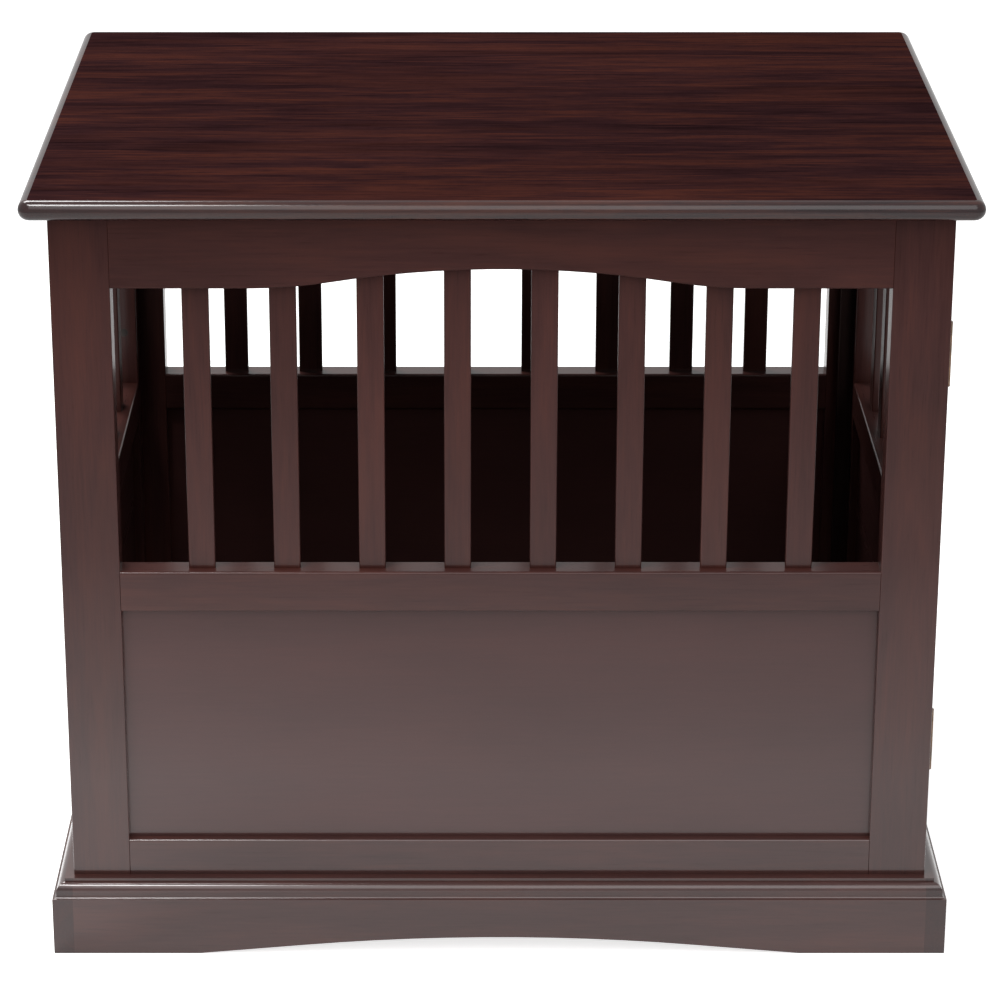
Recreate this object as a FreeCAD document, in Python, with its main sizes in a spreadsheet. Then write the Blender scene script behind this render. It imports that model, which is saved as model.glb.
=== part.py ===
"""Dog crate end table: a slatted wooden crate with a hinged end door under a bullnosed table top.

Millimetres. +X is to the right, +Y is away from the viewer, +Z is up.
The origin is on the floor, under the middle of the top.
"""
import FreeCAD, Part
import math
import os

import Sketcher
from FreeCAD import Placement, Rotation, Vector

NODE_FOLDER = "parts"

# ---------------------------------------------------------------- driving sizes

SIZES = [
    # table top
    ("top_width", 700.0, "width of the top, left to right"),
    ("top_depth", 508.0, "depth of the top, front to back"),
    ("total_height", 610.0, "floor to the upper face of the top"),
    ("top_thick", 15.0, "thickness of the top"),
    ("top_edge_flat", 0.4, "flat left between the two rounds of the bullnose"),
    ("top_corner_radius", 9.0, "corner radius of the top in plan"),
    ("top_corner_margin", 1.0, "least excess of that radius over the bullnose's"),
    ("top_overhang", 19.5, "top past the body, all round"),
    # frames of the four walls
    ("frame_thick", 22.0, "thickness of stiles, rails and aprons"),
    ("stile_width", 44.0, "width of the front and back stiles"),
    ("end_stile_width", 22.0, "width of an end stile, seen from the end"),
    ("apron_height", 56.5, "height of an apron at its ends"),
    ("arch_rise", 14.8, "rise of the apron's ogee arch"),
    ("front_arch_half_span", 185.0, "half the span of the front and back ogee"),
    ("front_arch_end_radius", 376.0, "radius of the front ogee's two end curves"),
    ("end_arch_half_span", 123.0, "half the span of the end walls' ogee"),
    ("end_arch_end_radius", 170.0, "radius of the end ogee's two end curves"),
    ("mid_rail_bottom", 282.0, "floor to the underside of the mid rails"),
    ("mid_rail_height", 32.3, "height of the mid rails"),
    ("bottom_rail_bottom", 30.0, "floor to the underside of the bottom rails"),
    ("bottom_rail_top", 90.0, "floor to the upper edge of the bottom rails"),
    ("tongue_length", 10.0, "tongue of a rail or panel in its groove"),
    ("tongue_shoulder", 3.0, "shoulder above and below a rail's tongue"),
    ("stile_edge_radius", 1.0, "eased long edges of the stiles"),
    ("rail_edge_radius", 2.0, "eased long edges of the rails and aprons"),
    # slats and panels
    ("front_slat_count", 8.0, "slats in the front and in the back"),
    ("end_slat_count", 5.0, "slats in each end"),
    ("slat_pitch", 64.3, "slat to slat"),
    ("slat_width", 20.0, "width of a slat"),
    ("slat_thick", 6.0, "thickness of a slat"),
    ("slat_tenon", 8.0, "length of slat let into a rail or apron"),
    ("slat_edge_radius", 1.2, "eased long edges of the slats"),
    ("panel_thick", 8.0, "thickness of the lower panels and of the tongues"),
    # plinth
    ("plinth_thick", 16.0, "thickness of the plinth boards"),
    ("plinth_height", 60.4, "height of the plinth boards"),
    ("mould_height", 14.0, "height of the routed edge of the plinth"),
    ("mould_ledge", 3.0, "ledge below the routed edge's cove"),
    ("mould_cove_radius", 2.5, "cove between ledge and ovolo"),
    ("mould_ovolo_radius", 6.3, "ovolo of the routed edge"),
    ("mould_fillet", 2.8, "small upright step above the ovolo"),
    ("plinth_foot", 97.5, "flat foot at each end of the front and back plinth"),
    ("plinth_end_foot", 82.0, "flat foot at each end of an end plinth"),
    ("plinth_ramp", 82.0, "straight rise at each end of the plinth's arch"),
    ("plinth_end_ramp", 60.0, "straight rise at each end of an end plinth's arch"),
    ("plinth_ramp_angle", 5.04, "slope of that rise, degrees"),
    # floor and hidden rails
    ("floor_thick", 12.0, "thickness of the floor panel"),
    ("floor_drop", 0.4, "floor panel below the plinth's upper edge"),
    ("cleat_height", 18.0, "height of the cleats under the floor"),
    ("cleat_width", 15.0, "width of the cleats under the floor"),
    ("batten_height", 22.0, "height of the battens under the top"),
    ("batten_width", 22.0, "width of the battens under the top"),
    ("head_rail_height", 30.0, "height of the rail over the door"),
    ("stop_width", 12.0, "width of the door stops"),
    ("stop_thick", 10.0, "thickness of the door stops"),
    # door
    ("door_gap", 2.5, "gap above and below the door"),
    ("door_stop_gap", 0.3, "gap between the closed door and its stops"),
    # hinges
    ("leaf_thick", 1.2, "thickness of a hinge leaf"),
    ("leaf_gap", 0.3, "gap between the closed leaves"),
    ("leaf_reach", 20.0, "leaf's edge to the pin's axis"),
    ("hinge_height", 50.0, "height of a hinge"),
    ("knuckle_radius", 2.2, "outer radius of the hinge knuckles"),
    ("knuckle_gap", 0.3, "gap between neighbouring knuckles"),
    ("knuckle_clear", 0.4, "room round a knuckle in the other leaf"),
    ("pin_radius", 1.2, "radius of a hinge pin"),
    ("pin_fit", 0.06, "radial play of the door leaf on its pin"),
    ("pin_head_height", 0.8, "height of a hinge pin's head"),
    ("upper_hinge_height", 480.0, "floor to the middle of the upper hinge"),
    ("lower_hinge_height", 165.0, "floor to the middle of the lower hinge"),
    ("hinge_screw_spacing", 34.0, "upper to lower screw of a leaf"),
    ("hinge_screw_inset", 12.0, "leaf screws to the pin's axis"),
    # barrel bolt
    ("bolt_radius", 2.5, "radius of the sliding bolt"),
    ("bolt_fit", 0.1, "radial play of the bolt in its guides"),
    ("keeper_play", 0.3, "radial play of the bolt in its keeper"),
    ("bolt_lift", 0.4, "gap between the bolt and its plate"),
    ("bolt_travel", 14.0, "travel of the bolt"),
    ("bolt_tail_hold", 1.0, "bolt still behind the rear guide when shot"),
    ("bolt_nose_gap", 4.0, "drawn bolt to the stile beside the door"),
    ("bolt_nose_taper", 1.5, "length of the taper on the bolt's nose"),
    ("plate_thick", 1.5, "thickness of the bolt's plate and keeper plate"),
    ("plate_height", 19.2, "height of the bolt's plate and keeper plate"),
    ("plate_tail", 5.0, "plate behind the rear guide"),
    ("guide_wall", 1.5, "wall of the guides round the bolt"),
    ("guide_length", 6.0, "length of a guide along the bolt"),
    ("knob_room", 1.5, "knob to a guide at each end of its travel"),
    ("guide_setback", 1.5, "front guide to the bolt's nose when drawn"),
    ("keeper_length", 18.0, "length of the keeper plate"),
    ("keeper_setback", 1.5, "keeper plate to the stile's edge"),
    ("knob_stem_radius", 1.6, "radius of the knob's stem"),
    ("knob_stem_length", 3.4, "stem between bolt and knob"),
    ("knob_radius", 3.2, "radius of the bolt's knob"),
    # screws
    ("screw_radius", 1.2, "shank radius of the hardware screws"),
    ("screw_head_radius", 2.4, "head radius of the hardware screws"),
    ("screw_length", 8.0, "length of the hardware screws"),
    ("plate_screw_offset", 6.6, "plate screws above and below the bolt"),
    ("plate_screw_spacing", 18.0, "plate screws along the bolt"),
    ("wood_screw_radius", 1.75, "shank radius of the wood screws"),
    ("wood_screw_head_radius", 3.6, "head radius of the wood screws"),
    ("wood_screw_length", 32.0, "length of the wood screws"),
    ("batten_screw_count", 4.0, "screws in a batten"),
    ("batten_screw_spacing", 160.0, "screw to screw along a batten"),
    ("corner_screw_rise", 45.7, "mid rail's top to the lower screw of a corner"),
    ("corner_screw_drop", 38.5, "apron's lower edge to the upper screw of a corner"),
]


class Size:
    """A size as the number it has now and as the sheet expression that it follows."""

    def __init__(self, number, text):
        self.number = number
        self.text = text

    def __add__(self, other):
        other = as_size(other)
        return Size(self.number + other.number, f"({self.text} + {other.text})")

    def __sub__(self, other):
        other = as_size(other)
        return Size(self.number - other.number, f"({self.text} - {other.text})")

    def __mul__(self, other):
        other = as_size(other)
        return Size(self.number * other.number, f"({self.text} * {other.text})")

    def __truediv__(self, other):
        other = as_size(other)
        return Size(self.number / other.number, f"({self.text} / {other.text})")

    def __neg__(self):
        return Size(-self.number, f"(-{self.text})")

    def __radd__(self, other):
        return as_size(other) + self

    def __rsub__(self, other):
        return as_size(other) - self

    def __rmul__(self, other):
        return as_size(other) * self


def as_size(value):
    return value if isinstance(value, Size) else Size(float(value), f"({value})")


def sine(angle):
    return Size(math.sin(math.radians(angle.number)), f"sin({angle.text} * 1deg)")


def cosine(angle):
    return Size(math.cos(math.radians(angle.number)), f"cos({angle.text} * 1deg)")


def tangent(angle):
    return Size(math.tan(math.radians(angle.number)), f"tan({angle.text} * 1deg)")


def arc_tangent(ratio):
    return Size(math.degrees(math.atan(ratio.number)), f"(atan({ratio.text}) / 1deg)")


def largest(first, second):
    number = max(first.number, second.number)
    return Size(number, f"max({first.text}; {second.text})")


doc = FreeCAD.newDocument("dog_crate_end_table")
sheet = doc.addObject("Spreadsheet::Sheet", "Sizes")
for row, (alias, value, meaning) in enumerate(SIZES, start=1):
    sheet.set(f"A{row}", meaning)
    sheet.set(f"B{row}", str(value))
    sheet.setAlias(f"B{row}", alias)
doc.recompute()


class Table:
    """The sizes by name, such as size.top_width, read back from the sheet."""

    def __init__(self):
        for alias, _, _ in SIZES:
            setattr(self, alias, Size(float(sheet.get(alias)), f"Sizes.{alias}"))


size = Table()

# ---------------------------------------------------------------- derived sizes

TOP_UNDER = size.total_height - size.top_thick
BODY_X = size.top_width / 2 - size.top_overhang
BODY_Y = size.top_depth / 2 - size.top_overhang
INNER_X = BODY_X - size.frame_thick
INNER_Y = BODY_Y - size.frame_thick
PLINTH_X = BODY_X + size.plinth_thick
PLINTH_Y = BODY_Y + size.plinth_thick
MID_RAIL_TOP = size.mid_rail_bottom + size.mid_rail_height
FLOOR_TOP = size.plinth_height - size.floor_drop
FLOOR_UNDER = FLOOR_TOP - size.floor_thick
SIDE_GAP = size.leaf_thick * 2 + size.leaf_gap
DOOR_BOTTOM = size.plinth_height + size.door_gap
DOOR_TOP = TOP_UNDER - size.door_gap
DOOR_Y = INNER_Y - SIDE_GAP

# ---------------------------------------------------------------- building blocks

nodes = []


def bind(thing, prop, value):
    thing.setExpression(prop, as_size(value).text)


def place(thing, x, y, z):
    for axis, value in zip("xyz", (x, y, z)):
        bind(thing, f"Placement.Base.{axis}", value)
    return thing


def turn(thing, axis, angle):
    thing.Placement = Placement(Vector(), Rotation(axis, angle))
    return thing


def node(thing, label):
    """Name a finished piece; its label is the name of its file."""
    thing.Label = label
    nodes.append(thing)
    return thing


def box(name, low, length, width, height):
    solid = doc.addObject("Part::Box", name)
    bind(solid, "Length", length)
    bind(solid, "Width", width)
    bind(solid, "Height", height)
    return place(solid, *low)


PARALLEL = 0.999
AXES = {"x": Vector(1, 0, 0), "y": Vector(0, 1, 0), "z": Vector(0, 0, 1)}


def edges_along(shape, axis):
    """Names of the straight edges that run along an axis."""
    names = []
    for number, edge in enumerate(shape.Edges, start=1):
        run = edge.Vertexes[-1].Point - edge.Vertexes[0].Point
        if abs(run.normalize().dot(axis)) > PARALLEL:
            names.append(f"Edge{number}")
    return names


BOX_EDGES = {letter: edges_along(Part.makeBox(1, 1, 1), axis) for letter, axis in AXES.items()}


def planed(name, low, length, width, height, grain, edge_radius):
    """A planed board: a box whose four edges along the grain are eased."""
    body = doc.addObject("PartDesign::Body", name)
    stock = body.newObject("PartDesign::AdditiveBox", f"{name}_stock")
    bind(stock, "Length", length)
    bind(stock, "Width", width)
    bind(stock, "Height", height)
    ease = body.newObject("PartDesign::Fillet", f"{name}_ease")
    ease.Base = (stock, BOX_EDGES[grain])
    bind(ease, "Radius", edge_radius)
    return place(body, *low)


AXIS_TURNS = {"x": (Vector(0, 1, 0), 90), "-x": (Vector(0, 1, 0), -90), "y": (Vector(1, 0, 0), -90),
              "-y": (Vector(1, 0, 0), 90), "z": (Vector(0, 0, 1), 0)}


def rod(name, start, radius, length, along):
    """A cylinder that starts at a point and runs along an axis."""
    solid = doc.addObject("Part::Cylinder", name)
    bind(solid, "Radius", radius)
    bind(solid, "Height", length)
    return place(turn(solid, *AXIS_TURNS[along]), *start)


def cone(name, start, radius_start, radius_end, length, along):
    solid = doc.addObject("Part::Cone", name)
    bind(solid, "Radius1", radius_start)
    bind(solid, "Radius2", radius_end)
    bind(solid, "Height", length)
    return place(turn(solid, *AXIS_TURNS[along]), *start)


def group(name, pieces):
    """Separate solids in one object."""
    together = doc.addObject("Part::Compound", name)
    together.Links = pieces
    return together


def fuse(name, pieces):
    joined = doc.addObject("Part::MultiFuse", name)
    joined.Shapes = pieces
    return joined


def cut(name, blank, tools):
    """The blank, less what is let into it or bored out of it."""
    left = doc.addObject("Part::Cut", name)
    left.Base = blank
    left.Tool = group(f"{name}_cutters", tools)
    return left


def steps(count, pitch):
    """Places at an even pitch, centred on zero."""
    return [pitch * (index - (count - 1) / 2) for index in range(count)]


def origin_plane(body, role):
    return next(plane for plane in body.Origin.OriginFeatures if plane.Role == role)


def arc_between(start, end, radius):
    """The minor arc of this radius, bulging to the left of its chord where the radius is positive.

    It always runs anticlockwise, so one that bulges to the left starts at the chord's end.
    """
    half_chord = (end - start) / 2
    reach = math.sqrt(max(radius * radius - half_chord.Length ** 2, 0.0))
    right = Vector(half_chord.y, -half_chord.x, 0).normalize()
    center = start + half_chord + right * math.copysign(reach, radius)
    first, last = (end - center, start - center) if radius > 0 else (start - center, end - center)
    circle = Part.Circle(center, Vector(0, 0, 1), abs(radius))
    return Part.ArcOfCircle(circle, math.atan2(first.y, first.x), math.atan2(last.y, last.x))


def outline(holder, name, plane, corners):
    """A closed sketch through corners (x, y, radius).

    The radius is that of the arc to the next corner: it bulges to the left of the way round where
    positive and to the right where negative, and None is a straight line.
    """
    sketch = holder.newObject("Sketcher::SketchObject", name)
    sketch.AttachmentSupport = [(plane, "")]
    sketch.MapMode = "FlatFace"
    points = [Vector(x.number, y.number, 0) for x, y, _ in corners]
    ends = []
    for index, (_, _, radius) in enumerate(corners):
        start = points[index]
        end = points[(index + 1) % len(points)]
        if radius is None:
            sketch.addGeometry(Part.LineSegment(start, end), False)
            ends.append((1, 2))
            continue
        sketch.addGeometry(arc_between(start, end, radius.number), False)
        ends.append((2, 1) if radius.number > 0 else (1, 2))
        rule = sketch.addConstraint(Sketcher.Constraint("Radius", index, abs(radius.number)))
        bind(sketch, f"Constraints[{rule}]", radius if radius.number > 0 else -radius)
    for index in range(len(corners)):
        following = (index + 1) % len(corners)
        sketch.addConstraint(
            Sketcher.Constraint("Coincident", index, ends[index][1], following, ends[following][0])
        )
    for index, (x, y, _) in enumerate(corners):
        for kind, value in (("DistanceX", x), ("DistanceY", y)):
            rule = sketch.addConstraint(
                Sketcher.Constraint(kind, -1, 1, index, ends[index][0], value.number)
            )
            bind(sketch, f"Constraints[{rule}]", value)
    return sketch


def padded(name, role, corners, thick, side_type="Symmetric"):
    """A body whose outline is drawn on one of its origin planes and padded."""
    body = doc.addObject("PartDesign::Body", name)
    sketch = outline(body, f"{name}_outline", origin_plane(body, role), corners)
    pad = body.newObject("PartDesign::Pad", f"{name}_pad")
    pad.Profile = sketch
    pad.SideType = side_type
    bind(pad, "Length", thick)
    return body


ZERO = as_size(0)

# ---------------------------------------------------------------- screws

def screw(name, at, along, shank_radius, head_radius, length):
    """A countersunk screw: its head's face is at the point and it runs along the axis."""
    head_height = head_radius - shank_radius
    tip_height = shank_radius * 2
    tip_radius = shank_radius / 4
    sign = -1 if along.startswith("-") else 1
    axis = along[-1]

    def past(distance):
        return [value + distance * sign if letter == axis else value
                for letter, value in zip("xyz", at)]

    return fuse(name, [
        cone(f"{name}_head", at, head_radius, shank_radius, head_height, along),
        rod(f"{name}_shank", at, shank_radius, length - tip_height, along),
        cone(f"{name}_tip", past(length - tip_height), shank_radius, tip_radius, tip_height, along),
    ])


def hardware_screw(name, at, along):
    return screw(name, at, along, size.screw_radius, size.screw_head_radius, size.screw_length)


def wood_screw(name, at, along):
    return screw(name, at, along, size.wood_screw_radius, size.wood_screw_head_radius,
                 size.wood_screw_length)


# ---------------------------------------------------------------- walls

class Wall:
    """One wall of the crate: a frame with an arched apron, slats above and a flat panel below.

    Its own across runs along the wall, and its own inward runs from its outer face to the inside.
    """

    def __init__(self, name, along, outer, inward, half_width, stile_width, bottom, top):
        self.name = name
        self.along = along
        self.outer = outer
        self.inward = inward
        self.half_width = half_width
        self.stile_width = stile_width
        self.opening = half_width - stile_width
        self.bottom = bottom
        self.top = top

    def spot(self, across, inward, z):
        """A point of the wall in the table's frame."""
        through = self.outer + inward * self.inward
        return (across, through, z) if self.along == "x" else (through, across, z)

    def board(self, name, across, inward, z, width, thick, height, grain=None, edge_radius=None):
        """A board by its lowest across, its outermost face and its lowest z.

        Its grain runs up ("z") or along the wall ("along"); with no grain given its edges are square.
        """
        near = inward if self.inward > 0 else inward + thick
        low = self.spot(across, near, z)
        sizes = (width, thick) if self.along == "x" else (thick, width)
        if grain is None:
            return box(f"{self.name}_{name}", low, *sizes, height)
        axis = self.along if grain == "along" else grain
        return planed(f"{self.name}_{name}", low, *sizes, height, axis, edge_radius)

    def centred(self, name, half_width, bottom, top, thick, grain=None, edge_radius=None):
        """A board centred in the width and in the thickness of the wall."""
        inward = (size.frame_thick - thick) / 2
        return self.board(name, -half_width, inward, bottom, half_width * 2, thick, top - bottom,
                          grain, edge_radius)

    def arched(self, name, corners, thick, middle):
        """A board whose outline has curves, with its middle plane this far inward."""
        body = padded(f"{self.name}_{name}", "XZ_Plane", corners, thick)
        if self.along == "y":
            turn(body, Vector(0, 0, 1), 90)
        return place(body, *self.spot(ZERO, middle, ZERO))


def slat_row(wall, count):
    """The slats, let into the mid rail below and into the apron above."""
    bottom = MID_RAIL_TOP - size.slat_tenon
    top = wall.top - size.apron_height + size.arch_rise + size.slat_tenon
    inward = (size.frame_thick - size.slat_thick) / 2
    return [
        wall.board(f"slat_{number}", across - size.slat_width / 2, inward, bottom,
                   size.slat_width, size.slat_thick, top - bottom, "z", size.slat_edge_radius)
        for number, across in enumerate(steps(count, size.slat_pitch), start=1)
    ]


def ogee(wall, half_span, end_radius):
    """The apron's outline: two small end curves run into one long arch between them."""
    bottom = wall.top - size.apron_height
    turn_angle = arc_tangent(size.arch_rise / half_span) * 2
    middle_radius = half_span / sine(turn_angle) - end_radius
    bend_x = middle_radius * sine(turn_angle)
    bend_z = bottom + end_radius * (1 - cosine(turn_angle))
    return [
        (-wall.opening, bottom, None),
        (-half_span, bottom, -end_radius),
        (-bend_x, bend_z, middle_radius),
        (bend_x, bend_z, -end_radius),
        (half_span, bottom, None),
        (wall.opening, bottom, None),
        (wall.opening, wall.top, None),
        (-wall.opening, wall.top, None),
    ]


def ease_lower_edges(board, top):
    """Round the two long curved edges under an apron."""
    doc.recompute()
    pad = board.Tip
    names = []
    for number, edge in enumerate(pad.Shape.Edges, start=1):
        first, last = (edge.Vertexes[0].Point, edge.Vertexes[-1].Point)
        along = abs(first.x - last.x) > size.rail_edge_radius.number
        below = max(first.z, last.z) < top - size.rail_edge_radius.number
        if along and below:
            names.append(f"Edge{number}")
    ease = board.newObject("PartDesign::Fillet", f"{board.Name}_ease")
    ease.Base = (pad, names)
    bind(ease, "Radius", size.rail_edge_radius)


def tongued(wall, name, blank, bottom, top, tools):
    """A rail or apron with a tongue past both ends, less what is let into it."""
    tongue = wall.centred(f"{name}_tongue", wall.opening + size.tongue_length, bottom, top,
                          size.panel_thick)
    return cut(f"{wall.name}_{name}", fuse(f"{wall.name}_{name}_blank", [blank, tongue]), tools)


def make_wall(wall, half_span, end_radius, slat_count, rail_screws):
    """Everything of a wall but its stiles: apron, mid rail, bottom rail, panel and slats."""
    name = wall.name
    slats = slat_row(wall, slat_count)
    panel = wall.centred("panel", wall.opening + size.tongue_length,
                         size.bottom_rail_top - size.tongue_length,
                         size.mid_rail_bottom + size.tongue_length, size.panel_thick)
    apron_blank = wall.arched("apron_board", ogee(wall, half_span, end_radius), size.frame_thick,
                              size.frame_thick / 2)
    ease_lower_edges(apron_blank, wall.top.number)
    apron = tongued(wall, "apron", apron_blank,
                    wall.top - size.apron_height + size.arch_rise + size.tongue_shoulder,
                    wall.top - size.tongue_shoulder, slats)
    mid_blank = wall.centred("mid_rail_board", wall.opening, size.mid_rail_bottom, MID_RAIL_TOP,
                             size.frame_thick, "along", size.rail_edge_radius)
    mid_rail = tongued(wall, "mid_rail", mid_blank, size.mid_rail_bottom + size.tongue_shoulder,
                       MID_RAIL_TOP - size.tongue_shoulder, slats + [panel] + rail_screws)
    bottom_blank = wall.centred("bottom_rail_board", wall.opening, wall.bottom,
                                size.bottom_rail_top, size.frame_thick, "along",
                                size.rail_edge_radius)
    bottom_rail = tongued(wall, "bottom_rail", bottom_blank, wall.bottom + size.tongue_shoulder,
                          size.bottom_rail_top - size.tongue_shoulder, [panel])
    node(apron, f"{name}_apron")
    node(mid_rail, f"{name}_mid_rail")
    node(bottom_rail, f"{name}_bottom_rail")
    node(panel, f"{name}_panel")
    return slats, [apron, mid_rail, bottom_rail, panel]


def make_stile(wall, label, side, bottom, tools):
    """A stile at one side of the wall, with its mortises and its holes."""
    edge = -wall.half_width if side < 0 else wall.opening
    blank = wall.board(f"{label}_board", edge, ZERO, bottom, wall.stile_width, size.frame_thick,
                       wall.top - bottom, "z", size.stile_edge_radius)
    return node(cut(label, blank, tools), label)


front = Wall("front", "x", -BODY_Y, 1, BODY_X, size.stile_width, size.bottom_rail_bottom, TOP_UNDER)
back = Wall("back", "x", BODY_Y, -1, BODY_X, size.stile_width, size.bottom_rail_bottom, TOP_UNDER)
left = Wall("left", "y", -BODY_X, 1, INNER_Y, size.end_stile_width, size.bottom_rail_bottom,
            TOP_UNDER)
door = Wall("door", "y", BODY_X, -1, DOOR_Y, size.end_stile_width - SIDE_GAP, DOOR_BOTTOM, DOOR_TOP)

# ---------------------------------------------------------------- places of the door's hardware

HINGE_AXIS_X = BODY_X + size.knuckle_radius
HINGE_AXIS_Y = -INNER_Y + SIDE_GAP / 2
HINGE_HEIGHTS = {"upper": size.upper_hinge_height, "lower": size.lower_hinge_height}
BOLT_HEIGHT = size.mid_rail_bottom + size.mid_rail_height / 2
PLATE_FACE = BODY_X + size.plate_thick
BOLT_AXIS_X = PLATE_FACE + size.bolt_lift + size.bolt_radius
BOLT_NOSE = INNER_Y - size.bolt_nose_gap
FRONT_GUIDE = BOLT_NOSE - size.guide_setback - size.guide_length
KNOB_SLOT = size.bolt_travel + (size.knob_radius + size.knob_room) * 2
REAR_GUIDE = FRONT_GUIDE - KNOB_SLOT - size.guide_length
KEEPER_START = INNER_Y + size.keeper_setback
GUIDE_RADIUS = size.bolt_radius + size.guide_wall


def leaf_screws(label, face_y, along):
    """The two screws of a hinge leaf, through its face and into the wood behind it."""
    height = HINGE_HEIGHTS[label]
    at_x = HINGE_AXIS_X - size.hinge_screw_inset
    return [
        hardware_screw(f"{label}_leaf_screw", (at_x, face_y, height + offset), along)
        for offset in steps(2, size.hinge_screw_spacing)
    ]


FRAME_LEAF_FACE = -INNER_Y + size.leaf_thick
DOOR_LEAF_FACE = -DOOR_Y - size.leaf_thick
frame_leaf_screws = {label: leaf_screws(label, FRAME_LEAF_FACE, "-y") for label in HINGE_HEIGHTS}
door_leaf_screws = {label: leaf_screws(label, DOOR_LEAF_FACE, "y") for label in HINGE_HEIGHTS}

plate_screws = [
    hardware_screw("plate_screw", (PLATE_FACE, FRONT_GUIDE - KNOB_SLOT / 2 + along,
                                   BOLT_HEIGHT + up), "-x")
    for along in steps(2, size.plate_screw_spacing)
    for up in steps(2, size.plate_screw_offset * 2)
]
keeper_screws = [
    hardware_screw("keeper_screw", (PLATE_FACE, KEEPER_START + size.keeper_length / 2,
                                    BOLT_HEIGHT + up), "-x")
    for up in steps(2, size.plate_screw_offset * 2)
]

CORNER_SCREW_LOW = MID_RAIL_TOP + size.corner_screw_rise
CORNER_SCREW_HIGH = TOP_UNDER - size.apron_height - size.corner_screw_drop
corner_screws = [
    wood_screw("corner_screw", (-BODY_X + size.end_stile_width / 2,
                                (INNER_Y - size.end_stile_width) * side, height),
               "y" if side > 0 else "-y")
    for side in (-1, 1)
    for height in (CORNER_SCREW_LOW, CORNER_SCREW_HIGH)
]

# ---------------------------------------------------------------- fixed walls

front_slats, front_rails = make_wall(front, size.front_arch_half_span, size.front_arch_end_radius,
                                     int(size.front_slat_count.number), [])
back_slats, back_rails = make_wall(back, size.front_arch_half_span, size.front_arch_end_radius,
                                   int(size.front_slat_count.number), [])
left_slats, left_rails = make_wall(left, size.end_arch_half_span, size.end_arch_end_radius,
                                   int(size.end_slat_count.number), [])

for number, slat in enumerate(front_slats, start=1):
    node(slat, f"front_slat_{number}")
node(group("back_slat_row", back_slats), "back_slats")
node(group("left_slat_row", left_slats), "left_slats")

frame_hinge_screws = frame_leaf_screws["upper"] + frame_leaf_screws["lower"]
make_stile(front, "front_left_stile", -1, ZERO, front_rails + corner_screws)
make_stile(front, "front_right_stile", 1, ZERO, front_rails + frame_hinge_screws)
make_stile(back, "back_left_stile", -1, ZERO, back_rails + corner_screws)
make_stile(back, "back_right_stile", 1, ZERO, back_rails + keeper_screws)
make_stile(left, "left_front_stile", -1, ZERO, left_rails + corner_screws)
make_stile(left, "left_back_stile", 1, ZERO, left_rails + corner_screws)

# ---------------------------------------------------------------- door

door_slats, door_rails = make_wall(door, size.end_arch_half_span, size.end_arch_end_radius,
                                   int(size.end_slat_count.number), plate_screws)
node(group("door_slat_row", door_slats), "door_slats")
door_hinge_screws = door_leaf_screws["upper"] + door_leaf_screws["lower"]
make_stile(door, "door_hinge_stile", -1, DOOR_BOTTOM, door_rails + door_hinge_screws)
make_stile(door, "door_latch_stile", 1, DOOR_BOTTOM, door_rails + plate_screws)
node(group("door_hardware_screws", door_hinge_screws + plate_screws), "door_screws")
node(group("frame_hardware_screws", frame_hinge_screws + keeper_screws), "frame_screws")
node(group("corner_wood_screws", corner_screws), "corner_screws")

# ---------------------------------------------------------------- hinges

KNUCKLES = 5
FIRST_KNUCKLE = {"frame": 0, "door": 1}


def hinge_leaf(label, owner, height, leaf_y, screws):
    """A leaf with every second knuckle, cut back round the other leaf's knuckles."""
    bottom = height - size.hinge_height / 2
    pitch = size.hinge_height / KNUCKLES
    plate = box(f"{label}_{owner}_plate", (HINGE_AXIS_X - size.leaf_reach, leaf_y, bottom),
                size.leaf_reach, size.leaf_thick, size.hinge_height)
    barrels = []
    bores = []
    for number in range(KNUCKLES):
        low = bottom + pitch * number
        if number % len(FIRST_KNUCKLE) == FIRST_KNUCKLE[owner]:
            barrels.append(rod(f"{label}_{owner}_knuckle", (HINGE_AXIS_X, HINGE_AXIS_Y,
                                                            low + size.knuckle_gap / 2),
                               size.knuckle_radius, pitch - size.knuckle_gap, "z"))
        else:
            bores.append(rod(f"{label}_{owner}_room", (HINGE_AXIS_X, HINGE_AXIS_Y,
                                                       low - size.knuckle_gap / 2),
                             size.knuckle_radius + size.knuckle_clear,
                             pitch + size.knuckle_gap, "z"))
    play = size.pin_fit if owner == "door" else ZERO
    bores.append(rod(f"{label}_{owner}_bore", (HINGE_AXIS_X, HINGE_AXIS_Y, bottom),
                     size.pin_radius + play, size.hinge_height, "z"))
    blank = fuse(f"{label}_{owner}_leaf_blank", [plate] + barrels)
    return node(cut(f"{label}_{owner}_leaf", blank, bores + screws), f"{label}_hinge_{owner}_leaf")


def hinge_pin(label, height):
    """A headed pin through the five knuckles."""
    bottom = height - size.hinge_height / 2
    shank = rod(f"{label}_pin_shank", (HINGE_AXIS_X, HINGE_AXIS_Y, bottom), size.pin_radius,
                size.hinge_height, "z")
    head = rod(f"{label}_pin_head", (HINGE_AXIS_X, HINGE_AXIS_Y, bottom + size.hinge_height),
               size.knuckle_radius, size.pin_head_height, "z")
    return fuse(f"{label}_pin", [shank, head])


for label, height in HINGE_HEIGHTS.items():
    hinge_leaf(label, "frame", height, -INNER_Y, frame_leaf_screws[label])
    hinge_leaf(label, "door", height, DOOR_LEAF_FACE, door_leaf_screws[label])
node(group("pins", [hinge_pin(label, height) for label, height in HINGE_HEIGHTS.items()]),
     "hinge_pins")

# ---------------------------------------------------------------- barrel bolt

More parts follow.
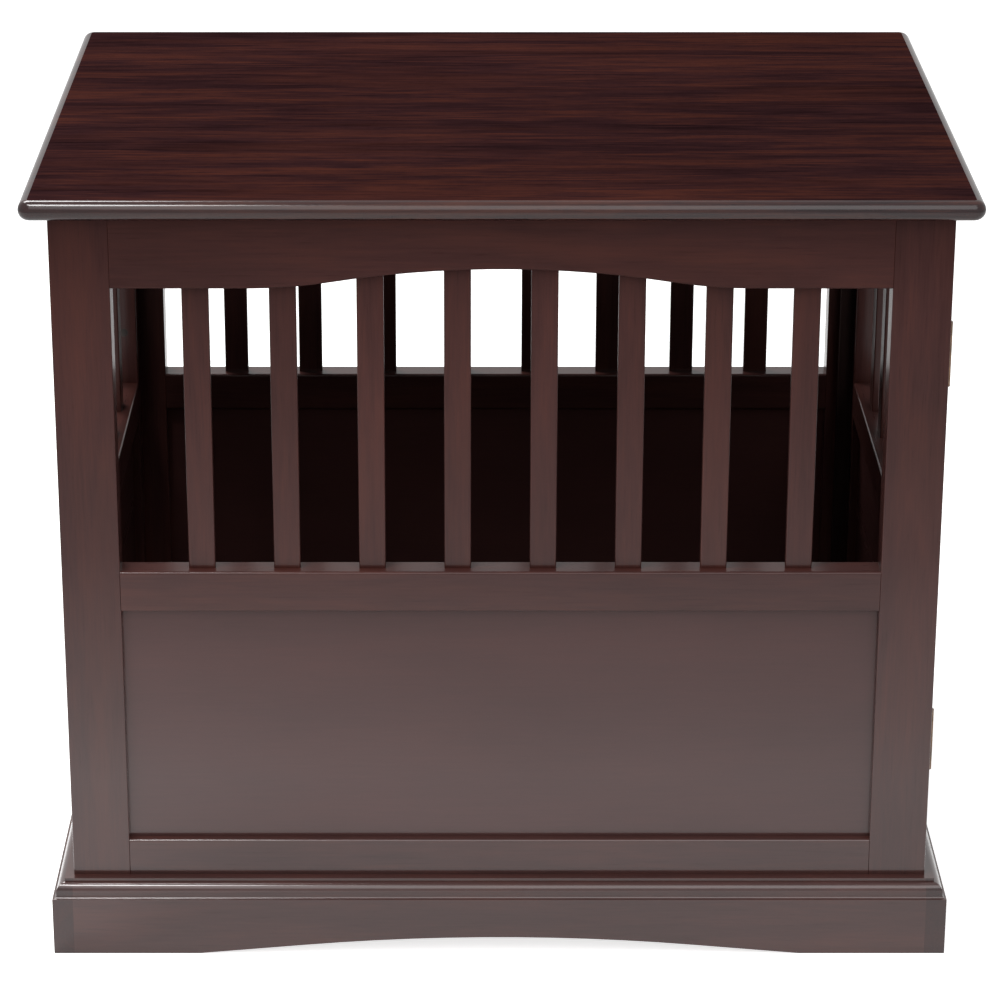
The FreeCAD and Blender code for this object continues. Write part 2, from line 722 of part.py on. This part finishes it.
def guide(name, start_y):
    """A square-backed loop that stands on a plate and holds the bolt."""
    block = box(f"{name}_block", (PLATE_FACE, start_y, BOLT_HEIGHT - GUIDE_RADIUS),
                BOLT_AXIS_X - PLATE_FACE, size.guide_length, GUIDE_RADIUS * 2)
    loop = rod(f"{name}_loop", (BOLT_AXIS_X, start_y, BOLT_HEIGHT), GUIDE_RADIUS,
               size.guide_length, "y")
    return [block, loop]


def bolt_plate(name, start_y, length, guides, play, screws):
    """A plate with its guides, bored for the bolt and for its screws."""
    plate = box(f"{name}_plate", (BODY_X, start_y, BOLT_HEIGHT - size.plate_height / 2),
                size.plate_thick, length, size.plate_height)
    bore = rod(f"{name}_bore", (BOLT_AXIS_X, start_y, BOLT_HEIGHT), size.bolt_radius + play,
               length, "y")
    blank = fuse(f"{name}_blank", [plate] + guides)
    return cut(name, blank, [bore] + screws)


PLATE_START = REAR_GUIDE - size.plate_tail
PLATE_LENGTH = BOLT_NOSE - PLATE_START
node(bolt_plate("barrel_plate", PLATE_START, PLATE_LENGTH,
                guide("rear_guide", REAR_GUIDE) + guide("front_guide", FRONT_GUIDE),
                size.bolt_fit, plate_screws), "bolt_plate")
node(bolt_plate("keeper", KEEPER_START, size.keeper_length,
                guide("keeper_guide", KEEPER_START), size.keeper_play, keeper_screws), "latch_keeper")

BOLT_TAIL = REAR_GUIDE - size.bolt_travel - size.bolt_tail_hold
KNOB_Y = REAR_GUIDE + size.guide_length + size.knob_radius + size.knob_room
bolt_pieces = [
    rod("bolt_shank", (BOLT_AXIS_X, BOLT_TAIL, BOLT_HEIGHT), size.bolt_radius,
        BOLT_NOSE - BOLT_TAIL - size.bolt_nose_taper, "y"),
    cone("bolt_nose", (BOLT_AXIS_X, BOLT_NOSE - size.bolt_nose_taper, BOLT_HEIGHT),
         size.bolt_radius, size.bolt_radius / 2, size.bolt_nose_taper, "y"),
    rod("knob_stem", (BOLT_AXIS_X, KNOB_Y, BOLT_HEIGHT), size.knob_stem_radius,
        size.bolt_radius + size.knob_stem_length + size.knob_radius, "x"),
]
knob = doc.addObject("Part::Sphere", "knob_ball")
bind(knob, "Radius", size.knob_radius)
place(knob, BOLT_AXIS_X + size.bolt_radius + size.knob_stem_length + size.knob_radius, KNOB_Y,
      BOLT_HEIGHT)
node(fuse("sliding_bolt", bolt_pieces + [knob]), "latch_bolt")

# ---------------------------------------------------------------- rails and stops round the door

head_rail_x = INNER_X - size.door_stop_gap - size.frame_thick
node(box("head_rail", (head_rail_x, -INNER_Y, TOP_UNDER - size.head_rail_height),
         size.frame_thick, INNER_Y * 2, size.head_rail_height), "door_head_rail")
node(box("sill_rail", (INNER_X, -INNER_Y, size.bottom_rail_bottom), size.frame_thick, INNER_Y * 2,
         size.plinth_height - size.bottom_rail_bottom), "door_sill_rail")
stop_x = INNER_X - size.door_stop_gap - size.stop_width
stop_height = TOP_UNDER - size.head_rail_height - FLOOR_TOP
node(group("stops", [
    box("door_stop", (stop_x, low_y, FLOOR_TOP), size.stop_width, size.stop_thick, stop_height)
    for low_y in (-INNER_Y, INNER_Y - size.stop_thick)
]), "door_stops")

# ---------------------------------------------------------------- plinth

def plinth_outline(half_length, foot, ramp):
    """Two flat feet, a straight rise from each, and one long arc between the rises."""
    half_span = half_length - foot
    rise = ramp * tangent(size.plinth_ramp_angle)
    arc_half = half_span - ramp
    return [
        (-half_length, ZERO, None),
        (-half_span, ZERO, None),
        (-arc_half, rise, arc_half / sine(size.plinth_ramp_angle)),
        (arc_half, rise, None),
        (half_span, ZERO, None),
        (half_length, ZERO, None),
        (half_length, size.plinth_height, None),
        (-half_length, size.plinth_height, None),
    ]


def moulding_cutter():
    """What the router takes off: one profile carried round the plinth with mitred corners."""
    ledge_z = size.plinth_height - size.mould_height
    cove_end = size.mould_ledge
    ovolo_z = size.plinth_height - size.mould_fillet
    over = size.plinth_thick
    section = doc.addObject("PartDesign::Body", "moulding_section")
    profile = outline(section, "moulding_profile", origin_plane(section, "YZ_Plane"), [
        (-PLINTH_Y - over, ledge_z, None),
        (-PLINTH_Y + cove_end - size.mould_cove_radius, ledge_z, -size.mould_cove_radius),
        (-PLINTH_Y + cove_end, ledge_z + size.mould_cove_radius, None),
        (-PLINTH_Y + cove_end, ovolo_z - size.mould_ovolo_radius, size.mould_ovolo_radius),
        (-PLINTH_Y + cove_end + size.mould_ovolo_radius, ovolo_z, None),
        (-PLINTH_Y + cove_end + size.mould_ovolo_radius, size.plinth_height + over, None),
        (-PLINTH_Y - over, size.plinth_height + over, None),
    ])
    way = outline(section, "moulding_way", origin_plane(section, "XY_Plane"), [
        (ZERO, -PLINTH_Y, None),
        (PLINTH_X, -PLINTH_Y, None),
        (PLINTH_X, PLINTH_Y, None),
        (-PLINTH_X, PLINTH_Y, None),
        (-PLINTH_X, -PLINTH_Y, None),
    ])
    cutter = doc.addObject("Part::Sweep", "moulding_sweep")
    cutter.Sections = [profile]
    cutter.Spine = (way, [f"Edge{number}" for number in range(1, 6)])
    cutter.Solid = True
    cutter.Transition = "Right corner"
    return cutter


moulding = moulding_cutter()


def plinth_board(name, wall, half_length, foot, ramp):
    blank = wall.arched("plinth_board", plinth_outline(half_length, foot, ramp), size.plinth_thick,
                        -size.plinth_thick / 2)
    return node(cut(name, blank, [moulding]), name)


plinth_board("front_plinth", front, BODY_X, size.plinth_foot, size.plinth_ramp)
plinth_board("back_plinth", back, BODY_X, size.plinth_foot, size.plinth_ramp)
plinth_board("left_plinth", left, PLINTH_Y, size.plinth_end_foot, size.plinth_end_ramp)
plinth_board("right_plinth", door, PLINTH_Y, size.plinth_end_foot, size.plinth_end_ramp)

# ---------------------------------------------------------------- floor

node(box("floor_board", (-INNER_X, -INNER_Y, FLOOR_UNDER), INNER_X * 2, INNER_Y * 2,
         size.floor_thick), "floor_panel")
cleat_z = FLOOR_UNDER - size.cleat_height
side_cleat_length = (INNER_Y - size.cleat_width) * 2
node(group("cleats", [
    box("long_cleat", (-INNER_X, low_y, cleat_z), INNER_X * 2, size.cleat_width, size.cleat_height)
    for low_y in (-INNER_Y, INNER_Y - size.cleat_width)
] + [
    box("short_cleat", (low_x, -INNER_Y + size.cleat_width, cleat_z), size.cleat_width,
        side_cleat_length, size.cleat_height)
    for low_x in (-INNER_X, INNER_X - size.cleat_width)
]), "floor_cleats")

# ---------------------------------------------------------------- top

batten_screws = [
    wood_screw("batten_screw", (along, (INNER_Y - size.batten_width / 2) * side,
                                TOP_UNDER - size.batten_height), "z")
    for side in (-1, 1)
    for along in steps(int(size.batten_screw_count.number), size.batten_screw_spacing)
]
node(group("batten_wood_screws", batten_screws), "batten_screws")

batten_length = head_rail_x + INNER_X
battens = [
    box("batten", (-INNER_X, low_y, TOP_UNDER - size.batten_height), batten_length,
        size.batten_width, size.batten_height)
    for low_y in (-INNER_Y, INNER_Y - size.batten_width)
]
node(cut("batten_pair", group("batten_boards", battens), batten_screws), "top_battens")


def top_outline():
    """A rectangle with rounded corners, the corners no tighter than the edge's round."""
    edge_radius = (size.top_thick - size.top_edge_flat) / 2
    radius = largest(size.top_corner_radius, edge_radius + size.top_corner_margin)
    x = size.top_width / 2
    y = size.top_depth / 2
    return [
        (-x + radius, -y, None),
        (x - radius, -y, -radius),
        (x, -y + radius, None),
        (x, y - radius, -radius),
        (x - radius, y, None),
        (-x + radius, y, -radius),
        (-x, y - radius, None),
        (-x, -y + radius, -radius),
    ]


top_board = padded("top_board", "XY_Plane", top_outline(), size.top_thick, "One side")
place(top_board, ZERO, ZERO, TOP_UNDER)
doc.recompute()
top_pad = top_board.Tip
flat_faces = [f"Face{number}" for number, face in enumerate(top_pad.Shape.Faces, start=1)
              if abs(face.normalAt(0, 0).z) > PARALLEL]
bullnose = top_board.newObject("PartDesign::Fillet", "bullnose")
bullnose.Base = (top_pad, flat_faces)
bind(bullnose, "Radius", (size.top_thick - size.top_edge_flat) / 2)
node(cut("bored_top", top_board, batten_screws), "top_panel")

# ---------------------------------------------------------------- check and write

doc.recompute()
for thing in doc.Objects:
    if "Invalid" in thing.State or "Error" in thing.State:
        raise RuntimeError(f"{thing.Label} failed: {thing.State}")
for thing in nodes:
    if thing.Shape.isNull() or not thing.Shape.isValid():
        raise RuntimeError(f"{thing.Label} has no valid shape")

os.makedirs(NODE_FOLDER, exist_ok=True)
for thing in nodes:
    thing.Shape.exportStep(os.path.join(NODE_FOLDER, f"{thing.Label}.step"))
print(len(nodes), "nodes written")
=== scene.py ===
"""Dog crate end table: espresso stained wood, dark bronze hardware, in a plain pale studio."""

import math

import bpy
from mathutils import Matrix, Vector

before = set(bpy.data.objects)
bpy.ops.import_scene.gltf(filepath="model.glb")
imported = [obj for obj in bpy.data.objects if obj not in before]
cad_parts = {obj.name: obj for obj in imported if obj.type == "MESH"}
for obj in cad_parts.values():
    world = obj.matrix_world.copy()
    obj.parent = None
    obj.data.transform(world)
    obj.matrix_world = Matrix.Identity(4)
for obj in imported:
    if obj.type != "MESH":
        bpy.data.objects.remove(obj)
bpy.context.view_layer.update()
scene = bpy.context.scene

AXES = {"x": 0, "y": 1, "z": 2}
WHITE = (1.0, 1.0, 1.0, 1.0)

# Sockets of a Mix node that blends colours.
MIX_SHARE, MIX_UNDER, MIX_OVER, MIX_RESULT = 0, 6, 7, 2


# ---------------------------------------------------------------- shader building

def add(tree, kind, values=None, **settings):
    """One shader node with its settings, and its inputs set or linked by name or number."""
    made = tree.nodes.new(kind)
    for key, value in settings.items():
        setattr(made, key, value)
    for key, value in (values or {}).items():
        if isinstance(value, bpy.types.NodeSocket):
            tree.links.new(value, made.inputs[key])
        else:
            made.inputs[key].default_value = value
    return made


def coordinate(tree, kind):
    return add(tree, "ShaderNodeTexCoord").outputs[kind]


def part_along(tree, vector, axis):
    """The part of a vector that lies along one axis."""
    return add(tree, "ShaderNodeSeparateXYZ", {0: vector}).outputs[AXES[axis]]


def maths(tree, operation, *terms, clamp=False):
    made = add(tree, "ShaderNodeMath", dict(enumerate(terms)), operation=operation, use_clamp=clamp)
    return made.outputs[0]


def carried(tree, factor, low, high, start, end):
    """A factor between low and high, carried over to between start and end."""
    made = add(tree, "ShaderNodeMapRange", {0: factor, 1: low, 2: high, 3: start, 4: end})
    return made.outputs[0]


def mixed(tree, how, share, under, over):
    """Two colours laid over each other."""
    made = add(tree, "ShaderNodeMix", {MIX_SHARE: share, MIX_UNDER: under, MIX_OVER: over},
               data_type="RGBA", blend_type=how)
    return made.outputs[MIX_RESULT]


def ramp(tree, factor, *stops):
    """A colour ramp from (place, colour) pairs."""
    made = add(tree, "ShaderNodeValToRGB", {0: factor})
    band = made.color_ramp
    while len(band.elements) < len(stops):
        band.elements.new(0.5)
    for element, (place, colour) in zip(band.elements, stops):
        element.position = place
        element.color = (*colour, 1.0)
    return made.outputs[0]


def grey(value):
    return (value, value, value)


def noise(tree, coords, detail, roughness, distortion=0.0, scale=1.0):
    made = add(tree, "ShaderNodeTexNoise", {
        "Vector": coords, "Scale": scale, "Detail": detail, "Roughness": roughness,
        "Distortion": distortion,
    })
    return made.outputs[0]


def cleared_tree(owner):
    """The node tree of a new material or world, emptied."""
    owner.use_nodes = True
    owner.node_tree.nodes.clear()
    return owner.node_tree


def new_material(name):
    material = bpy.data.materials.new(name)
    tree = cleared_tree(material)
    shader = add(tree, "ShaderNodeBsdfPrincipled")
    add(tree, "ShaderNodeOutputMaterial", {"Surface": shader.outputs[0]})
    return material, tree, shader


def surface(tree, shader, tone, rough, relief, relief_strength, relief_depth):
    """Leads a colour, a roughness and a fine relief to the shader."""
    bump = add(tree, "ShaderNodeBump", {
        "Strength": relief_strength, "Distance": relief_depth, "Height": relief,
    })
    tree.links.new(tone, shader.inputs["Base Color"])
    tree.links.new(rough, shader.inputs["Roughness"])
    tree.links.new(bump.outputs[0], shader.inputs["Normal"])


# ---------------------------------------------------------------- wear and painted corner shade

EDGE_SAMPLES = 4
WEAR_GAIN = 5.0


def worn_edge(tree, reach):
    """0 on flat faces, up to 1 on the arrises where the finish has rubbed thin."""
    rounded = add(tree, "ShaderNodeBevel", {"Radius": reach}, samples=EDGE_SAMPLES).outputs[0]
    flat = add(tree, "ShaderNodeNewGeometry").outputs["Normal"]
    cosine = add(tree, "ShaderNodeVectorMath", {0: rounded, 1: flat}, operation="DOT_PRODUCT")
    turned = maths(tree, "SUBTRACT", 1.0, cosine.outputs["Value"])
    return maths(tree, "MULTIPLY", turned, WEAR_GAIN, clamp=True)


def rubbed(tree, tone, reach, share, colour):
    """A tone with another colour showing on its worn arrises."""
    wear = maths(tree, "MULTIPLY", worn_edge(tree, reach), share)
    return mixed(tree, "MIX", wear, tone, (*colour, 1.0))


def stain_and_shade_in_corner(tree, reach):
    """1 on open faces, down to 0 in corners and recesses: painted shade, with stain gathered there
    too.
    """
    made = add(tree, "ShaderNodeAmbientOcclusion", {"Distance": reach}, samples=EDGE_SAMPLES)
    return made.outputs["AO"]


# ---------------------------------------------------------------- lacquer

# The nose starts where a face leans away from level, told by the upward part of its normal.
NOSE_STARTS = 0.995
NOSE_LACQUER = 0.7

# Height over the floor in metres, and how much lacquer is left there.
LACQUER_BY_HEIGHT = ((0.14, 1.0), (0.21, 0.70), (0.33, 0.28), (0.45, 0.12), (0.57, 0.0))


def polished_nose(tree):
    """Clear lacquer left shiny on the rounded edge and rubbed matt on the flat of the top."""
    upward = part_along(tree, coordinate(tree, "Normal"), "z")
    rounded = maths(tree, "LESS_THAN", maths(tree, "ABSOLUTE", upward), NOSE_STARTS)
    return maths(tree, "MULTIPLY", rounded, NOSE_LACQUER)


def lacquer(tree):
    """Clear lacquer, heavy at the foot and rubbed thin towards the top."""
    height = part_along(tree, coordinate(tree, "Object"), "z")
    return ramp(tree, height, *((level, grey(left)) for level, left in LACQUER_BY_HEIGHT))


# ---------------------------------------------------------------- stained wood

# Patterns in features per metre, along the grain and across it.
PORES = (110.0, 1500.0)
RED_PATCHES = (3.2, 30.0)
CLOUDS = (5.0, 9.0)

# Every board reads the patterns at a place of its own, and the red patches at another again.
BOARD_SHIFT = (1.0, 1.7, 2.3)
RED_PATCH_SHIFT = 20.0

# Streaks are half figure and half fibre, and run from the deep stain to the warm one.
NOISE_MIDDLE = 0.5
FIGURE_SHARE = 0.5
STREAK_SPREAD = 0.13

RED_PATCH_RANGE = (0.48, 0.68)
LEAST_RED_IN_FIBRE = 0.2
CLOUD_SHADE = ((0.30, grey(0.80)), (0.70, grey(1.0)))
PORE_SHADE = ((0.56, grey(1.0)), (0.70, grey(0.40)))

# Corners and recesses are darkened and reddened: painted shade, with stain gathered there too.
CORNER_REACH = 0.009
CORNER_SHADE = ((0.40, (0.68, 0.42, 0.34)), (0.85, grey(1.0)))
ARRIS_REACH = 0.0012
ARRIS_WEAR = 0.35

END_GRAIN_FACING = 0.8
END_GRAIN_SHADE = (0.62, 0.56, 0.58, 1.0)

FIBRE_RANGE = (0.3, 0.7)
PORE_RELIEF = 0.6
WOOD_RELIEF_STRENGTH = 0.12
WOOD_RELIEF_DEPTH = 0.0001

STAIN_GLINT = (1.0, 0.84, 0.85, 1.0)
LACQUER_ROUGHNESS = 0.15


class Finish:
    """How one kind of board is stained and lacquered.

    deep, body and warm are the stain's colours from the dark streaks to the red ones. patch and
    fibre are a streak's length and width in metres. sheen is the bare stain's specular level, coat
    the function that lays the clear lacquer, and gloss the roughness from fine to coarse fibre.
    """

    def __init__(self, deep, body, warm, patch, contrast, redness, gloss,
                 fibre=(0.040, 0.0018), pores=0.08, sheen=0.06, coat=lacquer):
        self.deep = deep
        self.body = body
        self.warm = warm
        self.patch = patch
        self.fibre = fibre
        self.contrast = contrast
        self.redness = redness
        self.pores = pores
        self.sheen = sheen
        self.coat = coat
        self.gloss = gloss


FINISHES = {
    "top": Finish(
        deep=(0.0100, 0.0040, 0.0046), body=(0.0215, 0.0082, 0.0090), warm=(0.0500, 0.0150, 0.0105),
        patch=(0.42, 0.026), fibre=(0.055, 0.0032), contrast=1.0, redness=0.70, pores=0.55,
        gloss=(0.13, 0.20), sheen=0.0, coat=polished_nose,
    ),
    "frame": Finish(
        deep=(0.0340, 0.0125, 0.0110), body=(0.0550, 0.0210, 0.0190), warm=(0.0830, 0.0285, 0.0220),
        patch=(0.14, 0.016), contrast=0.50, redness=0.80, gloss=(0.26, 0.36),
    ),
    "slat": Finish(
        deep=(0.0345, 0.0135, 0.0120), body=(0.0575, 0.0215, 0.0190), warm=(0.0840, 0.0290, 0.0225),
        patch=(0.14, 0.012), contrast=0.50, redness=0.70, gloss=(0.26, 0.36),
    ),
    "panel": Finish(
        deep=(0.0500, 0.0205, 0.0190), body=(0.0660, 0.0262, 0.0245), warm=(0.0830, 0.0315, 0.0270),
        patch=(0.20, 0.060), contrast=0.30, redness=0.35, gloss=(0.32, 0.42),
    ),
    # Pieces inside the crate: the stain's colours darkened as painted shade, and no lacquer.
    "shaded_inner": Finish(
        deep=(0.0120, 0.0062, 0.0058), body=(0.0200, 0.0105, 0.0095), warm=(0.0290, 0.0145, 0.0125),
        patch=(0.20, 0.018), contrast=0.60, redness=0.40, pores=0.40, gloss=(0.45, 0.60), coat=None,
    ),
}


def per_metre(size):
    """How often a streak of this length and width repeats in a metre."""
    length, width = size
    return (1 / length, 1 / width)


def grain_coords(tree, grain, repeats, offset):
    """Object coordinates drawn out along the grain, in features per metre."""
    along, across = repeats
    stretch = [across] * 3
    stretch[AXES[grain]] = along
    made = add(tree, "ShaderNodeMapping", {
        "Vector": coordinate(tree, "Object"), "Location": [offset * way for way in BOARD_SHIFT],
        "Scale": stretch,
    })
    return made.outputs[0]


def end_grain(tree, grain):
    """1 where a board is cut across its fibres, 0 along them."""
    facing = part_along(tree, coordinate(tree, "Normal"), grain)
    return maths(tree, "GREATER_THAN", maths(tree, "ABSOLUTE", facing), END_GRAIN_FACING)


def stain(tree, look, figure, fibre, glow):
    """Dark and warm streaks, with patches where red shows along the fibres."""
    from_figure = maths(tree, "MULTIPLY", figure, FIGURE_SHARE)
    from_fibre = maths(tree, "MULTIPLY", fibre, 1.0 - FIGURE_SHARE)
    streak = maths(tree, "ADD", from_figure, from_fibre)
    spread = STREAK_SPREAD / look.contrast
    tone = ramp(tree, streak, (NOISE_MIDDLE - spread, look.deep), (NOISE_MIDDLE, look.body),
                (NOISE_MIDDLE + spread, look.warm))
    red_patch = carried(tree, glow, *RED_PATCH_RANGE, 0.0, look.redness)
    red_streak = maths(tree, "MULTIPLY", red_patch, maths(tree, "ADD", fibre, LEAST_RED_IN_FIBRE))
    return mixed(tree, "MIX", red_streak, tone, (*look.warm, 1.0))


def stained_wood(name, look, grain, offset):
    """A board's own material: its stain, shaded, worn and lacquered."""
    material, tree, shader = new_material(name)

    def pattern(repeats, shift=0.0, **character):
        return noise(tree, grain_coords(tree, grain, repeats, offset + shift), **character)

    figure = pattern(per_metre(look.patch), detail=4.0, roughness=0.55, distortion=0.5)
    fibre = pattern(per_metre(look.fibre), detail=5.0, roughness=0.65)
    pore = pattern(PORES, detail=2.0, roughness=0.5)
    glow = pattern(RED_PATCHES, RED_PATCH_SHIFT, detail=4.0, roughness=0.6, distortion=0.4)
    cloud = pattern(CLOUDS, detail=2.0, roughness=0.5)

    tone = stain(tree, look, figure, fibre, glow)
    tone = mixed(tree, "MULTIPLY", 1.0, tone, ramp(tree, cloud, *CLOUD_SHADE))
    tone = mixed(tree, "MULTIPLY", look.pores, tone, ramp(tree, pore, *PORE_SHADE))
    # Painted shade, reddened like gathered stain, in the corners and recesses.
    corner_stain_and_shade = ramp(tree, stain_and_shade_in_corner(tree, CORNER_REACH), *CORNER_SHADE)
    tone = mixed(tree, "MULTIPLY", 1.0, tone, corner_stain_and_shade)
    tone = rubbed(tree, tone, ARRIS_REACH, ARRIS_WEAR, look.warm)
    tone = mixed(tree, "MULTIPLY", end_grain(tree, grain), tone, END_GRAIN_SHADE)

    rough = carried(tree, fibre, *FIBRE_RANGE, *look.gloss)
    relief = maths(tree, "SUBTRACT", fibre, maths(tree, "MULTIPLY", pore, PORE_RELIEF))
    surface(tree, shader, tone, rough, relief, WOOD_RELIEF_STRENGTH, WOOD_RELIEF_DEPTH)
    shader.inputs["Specular IOR Level"].default_value = look.sheen
    shader.inputs["Specular Tint"].default_value = STAIN_GLINT
    if look.coat:
        tree.links.new(look.coat(tree), shader.inputs["Coat Weight"])
    shader.inputs["Coat Roughness"].default_value = LACQUER_ROUGHNESS
    return material


# ---------------------------------------------------------------- metal

# Clouds and specks per metre.
METAL_CLOUDS = 130.0
METAL_SPECKS = 1500.0

GRIME_STOP, DULL_STOP, BRIGHT_STOP = 0.28, 0.50, 0.78
CLOUD_RANGE = (0.3, 0.7)
METAL_ARRIS_REACH = 0.0004
METAL_ARRIS_WEAR = 0.7
METAL_RELIEF_STRENGTH = 0.15
METAL_RELIEF_DEPTH = 0.00004


def metal(name, bright, dull, grime, smooth, rough):
    """Worn metal: bright where it is rubbed, dull and grimy in its low places."""
    material, tree, shader = new_material(name)
    place = coordinate(tree, "Object")
    cloud = noise(tree, place, detail=3.0, roughness=0.5, distortion=0.2, scale=METAL_CLOUDS)
    speck = noise(tree, place, detail=2.0, roughness=0.5, scale=METAL_SPECKS)
    tone = ramp(tree, cloud, (GRIME_STOP, grime), (DULL_STOP, dull), (BRIGHT_STOP, bright))
    tone = rubbed(tree, tone, METAL_ARRIS_REACH, METAL_ARRIS_WEAR, bright)
    polish = carried(tree, cloud, *CLOUD_RANGE, rough, smooth)
    surface(tree, shader, tone, polish, speck, METAL_RELIEF_STRENGTH, METAL_RELIEF_DEPTH)
    shader.inputs["Metallic"].default_value = 1.0
    return material


dark_bronze = metal(
    "dark_bronze", bright=(0.210, 0.128, 0.076), dull=(0.120, 0.074, 0.047),
    grime=(0.062, 0.040, 0.028), smooth=0.27, rough=0.42,
)
black_steel = metal(
    "black_steel", bright=(0.060, 0.052, 0.048), dull=(0.028, 0.024, 0.023),
    grime=(0.012, 0.011, 0.011), smooth=0.36, rough=0.55,
)


# ---------------------------------------------------------------- every piece's finish

METAL_PIECES = {
    "hinge_pins": dark_bronze, "frame_screws": dark_bronze, "door_screws": dark_bronze,
    "upper_hinge_frame_leaf": dark_bronze, "upper_hinge_door_leaf": dark_bronze,
    "lower_hinge_frame_leaf": dark_bronze, "lower_hinge_door_leaf": dark_bronze,
    "bolt_plate": dark_bronze, "latch_keeper": dark_bronze, "latch_bolt": dark_bronze,
    "corner_screws": black_steel, "batten_screws": black_steel,
}

END_WALLS = ("left", "door")
INNER_PIECES = (
    "floor_panel", "floor_cleats", "top_battens", "door_head_rail", "door_sill_rail", "door_stops",
)

# How far apart two boards read the patterns, so that no two have the same grain.
BOARD_STEP = 3.1


def board_finish(name):
    # Pieces inside the crate take the finish whose colours are darkened as painted shade.
    if name in INNER_PIECES:
        return FINISHES["shaded_inner"]
    if name == "top_panel":
        return FINISHES["top"]
    if "slat" in name:
        return FINISHES["slat"]
    return FINISHES["panel" if name.endswith("_panel") else "frame"]


def board_grain(name):
    """The axis that a board's fibres run along."""
    if "slat" in name or "stile" in name or name == "door_stops":
        return "z"
    side_board = name.startswith(END_WALLS) or name == "right_plinth"
    return "y" if side_board else "x"


for count, (name, piece) in enumerate(sorted(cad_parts.items())):
    if name in METAL_PIECES:
        material = METAL_PIECES[name]
    else:
        material = stained_wood(
            f"{name}_wood", board_finish(name), board_grain(name), BOARD_STEP * count)
    piece.data.materials.clear()
    piece.data.materials.append(material)


# ---------------------------------------------------------------- floor and lights

FLOOR_RADIUS = 40.0
FLOOR_SIDES = 96
FLOOR_DROP = 0.0004
FLOOR_COLOUR = 0.82
FLOOR_GLOW = 0.75

DOME_AT_HORIZON = 0.22
DOME_OVERHEAD = 0.40


def background_share(tree):
    """1 for the rays that show the background: those of the camera, of gloss and of glass."""
    rays = add(tree, "ShaderNodeLightPath").outputs
    mirrored = maths(tree, "MAXIMUM", rays["Is Glossy Ray"], rays["Is Transmission Ray"])
    return maths(tree, "MAXIMUM", rays["Is Camera Ray"], mirrored)


def pale_floor():
    """A round floor, lifted to white only for the rays that show the background."""
    bpy.ops.mesh.primitive_circle_add(vertices=FLOOR_SIDES, radius=FLOOR_RADIUS, fill_type="NGON")
    floor = bpy.context.object
    floor.name = "studio_floor"
    floor.location.z = -FLOOR_DROP
    material = bpy.data.materials.new("studio_floor")
    tree = cleared_tree(material)
    matt = add(tree, "ShaderNodeBsdfDiffuse", {"Color": (*grey(FLOOR_COLOUR), 1.0)})
    strength = maths(tree, "MULTIPLY", background_share(tree), FLOOR_GLOW)
    glow = add(tree, "ShaderNodeEmission", {"Strength": strength})
    both = add(tree, "ShaderNodeAddShader", {0: matt.outputs[0], 1: glow.outputs[0]})
    add(tree, "ShaderNodeOutputMaterial", {"Surface": both.outputs[0]})
    floor.data.materials.append(material)


def studio_world():
    """Soft light from every side, in front of a white background."""
    world = bpy.data.worlds.new("studio")
    scene.world = world
    tree = cleared_tree(world)
    height = part_along(tree, coordinate(tree, "Generated"), "z")
    dome = ramp(tree, height, (0.0, grey(DOME_AT_HORIZON)), (1.0, grey(DOME_OVERHEAD)))
    sky = mixed(tree, "MIX", background_share(tree), dome, WHITE)
    back = add(tree, "ShaderNodeBackground", {0: sky})
    add(tree, "ShaderNodeOutputWorld", {"Surface": back.outputs[0]})


def softbox(name, place, aim, width, height, power):
    """A rectangular lamp, turned to face the point that it is aimed at."""
    lamp = bpy.data.lights.new(name, "AREA")
    lamp.shape = "RECTANGLE"
    lamp.size = width
    lamp.size_y = height
    lamp.energy = power
    box = bpy.data.objects.new(name, lamp)
    scene.collection.objects.link(box)
    box.location = place
    box.rotation_euler = (Vector(aim) - Vector(place)).to_track_quat("-Z", "Y").to_euler()


pale_floor()
studio_world()
softbox("rear_softbox", place=(-0.85, 1.00, 1.90), aim=(-0.30, 0.0, 0.55),
        width=0.9, height=0.60, power=30.0)
softbox("strip_softbox", place=(-0.62, -0.70, 2.20), aim=(-0.25, -0.25, 0.30),
        width=0.7, height=0.34, power=24.0)
softbox("front_softbox", place=(0.50, -2.10, 2.50), aim=(0.0, 0.0, 0.30),
        width=2.6, height=2.2, power=45.0)


# ---------------------------------------------------------------- camera

# Fitted to the outlines of the top, the body and the plinth. The camera looks down by so many
# degrees, and its sensor and focal length are in millimetres.
CAMERA_PLACE = (-0.02566, -2.76981, 1.36989)
CAMERA_BELOW_LEVEL = 20.523
SENSOR_WIDTH = 36.0
FOCAL_LENGTH = 131.22
SHIFT_ACROSS, SHIFT_UP = 0.0337, -0.06

eye = bpy.data.cameras.new("front_camera")
eye.sensor_width = SENSOR_WIDTH
eye.lens = FOCAL_LENGTH
eye.shift_x = SHIFT_ACROSS
eye.shift_y = SHIFT_UP
camera = bpy.data.objects.new("front_camera", eye)
scene.collection.objects.link(camera)
camera.location = CAMERA_PLACE
camera.rotation_euler = (math.radians(90.0 - CAMERA_BELOW_LEVEL), 0.0, 0.0)
scene.camera = camera
scene.view_settings.view_transform = "Standard"
